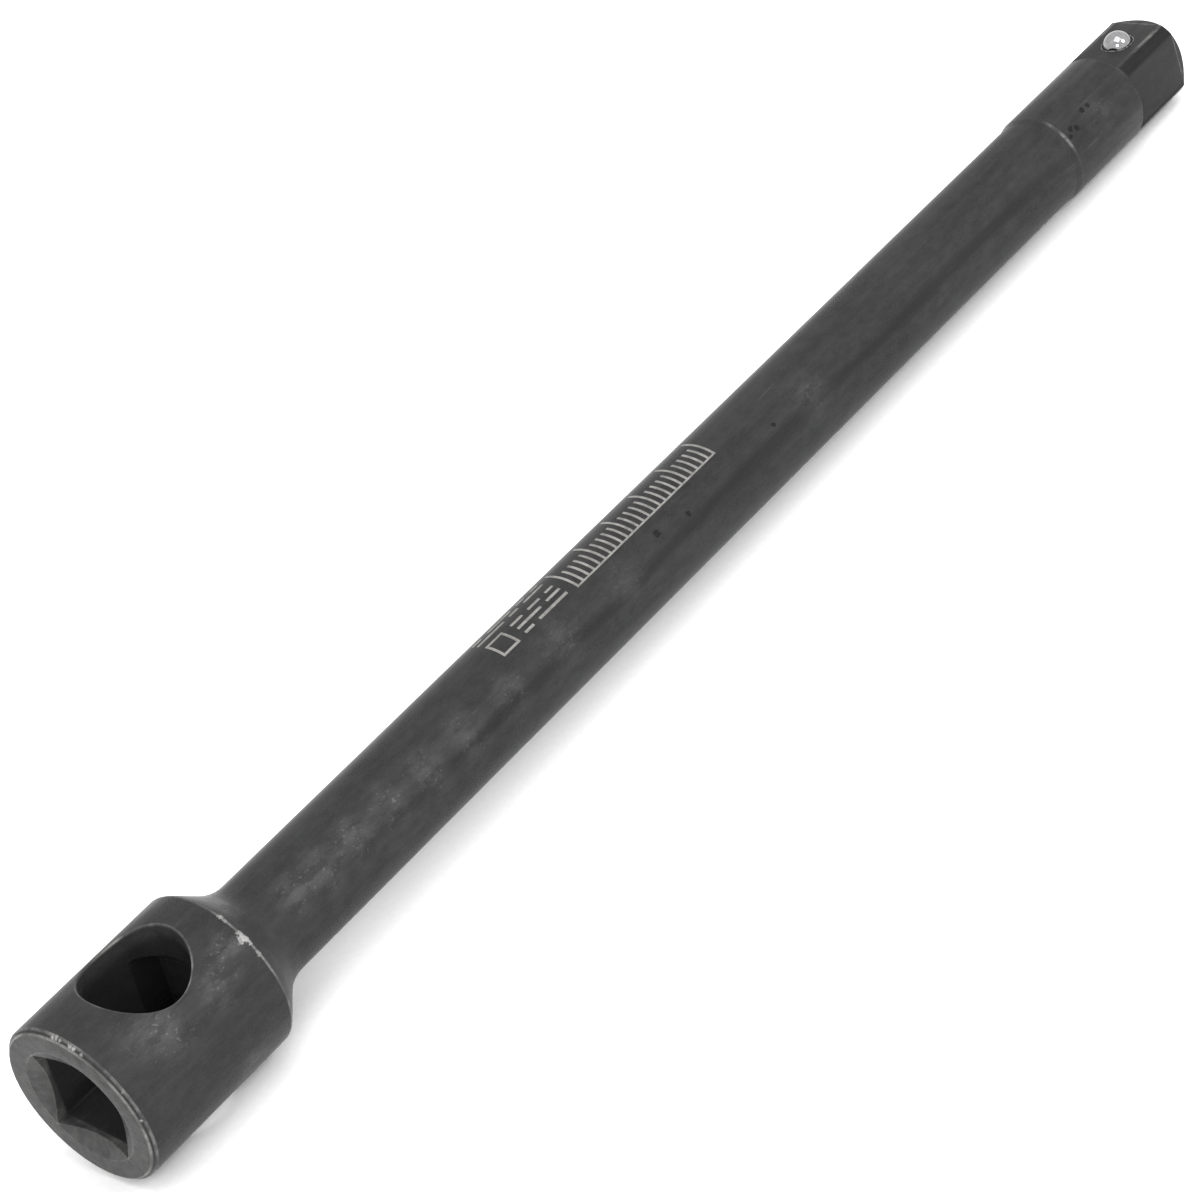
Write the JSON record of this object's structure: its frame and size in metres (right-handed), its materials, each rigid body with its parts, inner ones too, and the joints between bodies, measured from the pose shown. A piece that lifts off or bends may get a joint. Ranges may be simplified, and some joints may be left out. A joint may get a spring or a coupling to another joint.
{
  "type": "breaker bar",
  "caption": "Long one-piece forged steel turning bar with a square socket head, a cross hole for a turning rod and a square drive end with a sprung ball.",
  "frame": {"origin": "centre of the socket head's open face, on the bar's axis", "axes": "+X along the bar from the socket head to the square drive, +Z outward along the detent ball's axis, square to one flat of the drive; the bar lies level"},
  "size_m": [0.4, 0.0384, 0.0384],
  "materials": {
    "black_steel": "dark phosphated forging, satin, worn at its edges",
    "bearing_steel": "polished hardened ball",
    "spring_steel": "drawn wire"
  },
  "bodies": {
    "bar": {"forged_bar": "black_steel", "detent_spring": "spring_steel"},
    "ball": {"detent_ball": "bearing_steel"}
  },
  "joints": [
    {"name": "ball_press", "type": "slide", "parent": "bar", "child": "ball", "axis": [0, 0, -1], "range_m": [0, 0.0031], "stiffness_N_per_m": 6000, "springref_m": -0.0015, "deforming": ["detent_spring"]}
  ]
}
